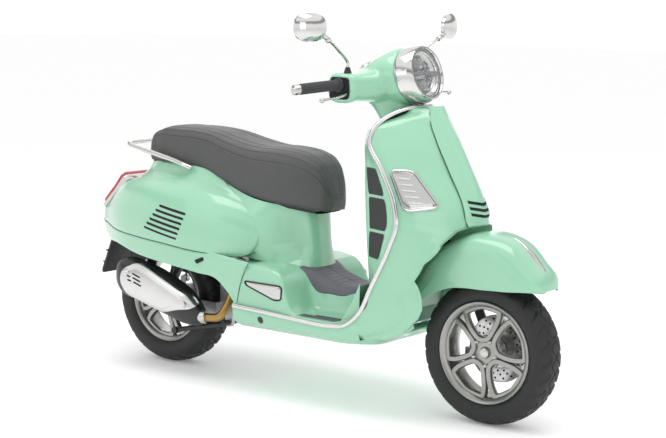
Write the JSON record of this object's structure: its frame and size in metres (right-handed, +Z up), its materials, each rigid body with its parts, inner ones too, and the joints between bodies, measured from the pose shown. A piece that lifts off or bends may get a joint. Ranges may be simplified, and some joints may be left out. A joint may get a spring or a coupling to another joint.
{
  "type": "moped scooter",
  "caption": "Step-through motor scooter with steel-style body, round headlight, two-person seat, swing-arm power unit and trailing-link fork.",
  "frame": {"origin": "on the ground under the middle of the overall length, on the middle plane", "axes": "+X forward, +Y to the rider's left, +Z up"},
  "size_m": [1.942, 0.8972, 1.295],
  "materials": {
    "body_paint": "gloss",
    "chrome": "polished",
    "black_plastic": "grained matte",
    "seat_vinyl": "grained satin",
    "mat_rubber": "matte",
    "grip_rubber": "matte",
    "tyre": "matte",
    "rim_metal": "satin grey paint",
    "disc_steel": "ground",
    "steel": "plain",
    "engine_metal": "cast",
    "black_steel": "satin black",
    "heat_shield": "satin",
    "red_lens": "clear red",
    "clear_lens": "clear",
    "reflector": "mirror",
    "panel": "gloss black"
  },
  "bodies": {
    "chassis": {"main_body": "body_paint", "inner_legshield": "body_paint", "legshield": "body_paint", "horn_cover": "body_paint", "shield_trim": "chrome", "floor_pan": "body_paint", "floor_mats": "mat_rubber", "right_cowl": "body_paint", "left_cowl": "body_paint", "lower_skirt": "body_paint", "tail_light": "red_lens", "indicator_lights": "clear_lens", "grab_rail": "chrome", "plate_holder": "black_plastic", "storage_tub": "black_plastic", "head_tube": "steel", "engine_mount": "black_steel"},
    "steering": {"steering_column": "steel", "headset_cover": "body_paint", "headlight_bezel": "chrome", "headlight_lens": "clear_lens", "headlight_reflector": "reflector", "instrument_panel": "panel", "handlebar_tube": "steel", "left_grip": "grip_rubber", "bar_ends": "chrome", "switch_housings": "black_plastic", "mirror_stems": "chrome", "front_fender": "body_paint"},
    "throttle": {"throttle_grip": "grip_rubber"},
    "right_lever": {"right_brake_lever": "chrome"},
    "left_lever": {"left_brake_lever": "chrome"},
    "starter": {"starter_button": "black_plastic"},
    "horn": {"horn_button": "black_plastic"},
    "right_mirror": {"right_mirror": "chrome"},
    "left_mirror": {"left_mirror": "chrome"},
    "front_link": {"front_link": "engine_metal"},
    "front_damper": {"front_damper_body": "steel", "front_spring": "black_steel"},
    "front_rod": {"front_damper_rod": "disc_steel"},
    "front_wheel": {"front_tyre": "tyre", "front_rim": "rim_metal", "front_disc": "disc_steel", "front_wheel_bolts": "disc_steel"},
    "power_unit": {"engine_unit": "engine_metal", "exhaust_silencer": "black_steel", "exhaust_shield": "heat_shield"},
    "rear_dampers": {"rear_damper_bodies": "steel", "rear_springs": "black_steel"},
    "rear_rods": {"rear_damper_rods": "disc_steel"},
    "rear_wheel": {"rear_tyre": "tyre", "rear_rim": "rim_metal", "rear_wheel_bolts": "disc_steel"},
    "centre_stand": {"centre_stand": "black_steel"},
    "side_stand": {"side_stand": "black_steel"},
    "right_peg": {"right_footpeg": "chrome"},
    "left_peg": {"left_footpeg": "chrome"},
    "seat": {"seat_cushion": "seat_vinyl", "seat_base": "black_plastic"},
    "glove_door": {"glove_door": "body_paint"}
  },
  "joints": [
    {"name": "steering", "type": "hinge", "parent": "chassis", "child": "steering", "pos_m": [0.715, 0, 0.236], "axis": [-0.4462, 0, 0.8949], "range_deg": [-30, 30]},
    {"name": "throttle", "type": "hinge", "parent": "steering", "child": "throttle", "pos_m": [0.289, 0, 1.073], "axis": [-0.2124, -0.9756, -0.0551], "range_deg": [0, 75], "stiffness_Nm_per_rad": 0.05, "springref_deg": -17.19},
    {"name": "right_brake", "type": "hinge", "parent": "steering", "child": "right_lever", "pos_m": [0.283, -0.186, 1.044], "axis": [0, 0, -1], "range_deg": [0, 14], "stiffness_Nm_per_rad": 1, "springref_deg": -22.92},
    {"name": "left_brake", "type": "hinge", "parent": "steering", "child": "left_lever", "pos_m": [0.283, 0.186, 1.044], "axis": [0, 0, 1], "range_deg": [0, 14], "stiffness_Nm_per_rad": 1, "springref_deg": -22.92},
    {"name": "starter_press", "type": "slide", "parent": "steering", "child": "starter", "axis": [1, 0, 0], "range_m": [0, 0.002], "stiffness_N_per_m": 400, "springref_m": -0.002},
    {"name": "horn_press", "type": "slide", "parent": "steering", "child": "horn", "axis": [1, 0, 0], "range_m": [0, 0.002], "stiffness_N_per_m": 400, "springref_m": -0.002},
    {"name": "right_mirror_turn", "type": "hinge", "parent": "steering", "child": "right_mirror", "pos_m": [0.3, -0.323, 1.217], "axis": [0.1324, -0.8606, 0.4917], "range_deg": [-15, 15]},
    {"name": "left_mirror_turn", "type": "hinge", "parent": "steering", "child": "left_mirror", "pos_m": [0.3, 0.323, 1.217], "axis": [0.1324, 0.8606, 0.4917], "range_deg": [-15, 15]},
    {"name": "front_swing", "type": "hinge", "parent": "steering", "child": "front_link", "pos_m": [0.845, 0.078, 0.246], "axis": [0, 1, 0], "range_deg": [-2, 10], "stiffness_Nm_per_rad": 900, "springref_deg": -6.88},
    {"name": "front_damper_tilt", "type": "hinge", "parent": "steering", "child": "front_damper", "pos_m": [0.583, 0.08, 0.455], "axis": [0, 1, 0], "range_deg": [-6, 2]},
    {"name": "front_rod_slide", "type": "slide", "parent": "front_damper", "child": "front_rod", "axis": [-0.4079, 0, 0.913], "range_m": [-0.008, 0.03], "deforming": ["front_spring"]},
    {"name": "front_spin", "type": "hinge", "parent": "front_link", "child": "front_wheel", "pos_m": [0.735, 0, 0.236], "axis": [0, 1, 0], "continuous": true},
    {"name": "rear_swing", "type": "hinge", "parent": "chassis", "child": "power_unit", "pos_m": [-0.179, 0, 0.33], "axis": [0, 1, 0], "range_deg": [-2.5, 4], "stiffness_Nm_per_rad": 9000, "springref_deg": -2.86},
    {"name": "rear_damper_tilt", "type": "hinge", "parent": "chassis", "child": "rear_dampers", "pos_m": [-0.639, 0.098, 0.56], "axis": [0, 1, 0], "range_deg": [-2, 3]},
    {"name": "rear_rod_slide", "type": "slide", "parent": "rear_dampers", "child": "rear_rods", "axis": [0.1465, 0, 0.9892], "range_m": [-0.026, 0.045], "deforming": ["rear_springs"]},
    {"name": "rear_spin", "type": "hinge", "parent": "power_unit", "child": "rear_wheel", "pos_m": [-0.639, 0, 0.243], "axis": [0, 1, 0], "continuous": true},
    {"name": "centre_stand_fold", "type": "hinge", "parent": "power_unit", "child": "centre_stand", "pos_m": [-0.329, 0, 0.19], "axis": [0, -1, 0], "range_deg": [0, 82], "stiffness_Nm_per_rad": 4, "springref_deg": -34.38},
    {"name": "side_stand_fold", "type": "hinge", "parent": "chassis", "child": "side_stand", "pos_m": [0.253, 0.14, 0.2], "axis": [0, -1, 0], "range_deg": [0, 95], "stiffness_Nm_per_rad": 2, "springref_deg": -34.38},
    {"name": "right_peg_fold", "type": "hinge", "parent": "chassis", "child": "right_peg", "pos_m": [0.059, -0.224, 0.366], "axis": [0, 0, 1], "range_deg": [0, 80]},
    {"name": "left_peg_fold", "type": "hinge", "parent": "chassis", "child": "left_peg", "pos_m": [0.059, 0.224, 0.366], "axis": [0, 0, -1], "range_deg": [0, 80]},
    {"name": "seat_lift", "type": "hinge", "parent": "chassis", "child": "seat", "pos_m": [0.134, 0, 0.62], "axis": [0, 1, 0], "range_deg": [0, 50]},
    {"name": "glove_door_fold", "type": "hinge", "parent": "chassis", "child": "glove_door", "pos_m": [0.3375, 0, 0.6535], "axis": [0, -1, 0], "range_deg": [0, 25]}
  ],
  "couplings": [
    {"joint": "front_damper_tilt", "follows": "front_swing", "ratio": -0.47199},
    {"joint": "front_rod_slide", "follows": "front_swing", "m_per_rad": 0.14451},
    {"joint": "rear_damper_tilt", "follows": "rear_swing", "ratio": 0.40927},
    {"joint": "rear_rod_slide", "follows": "rear_swing", "m_per_rad": 0.49018}
  ]
}
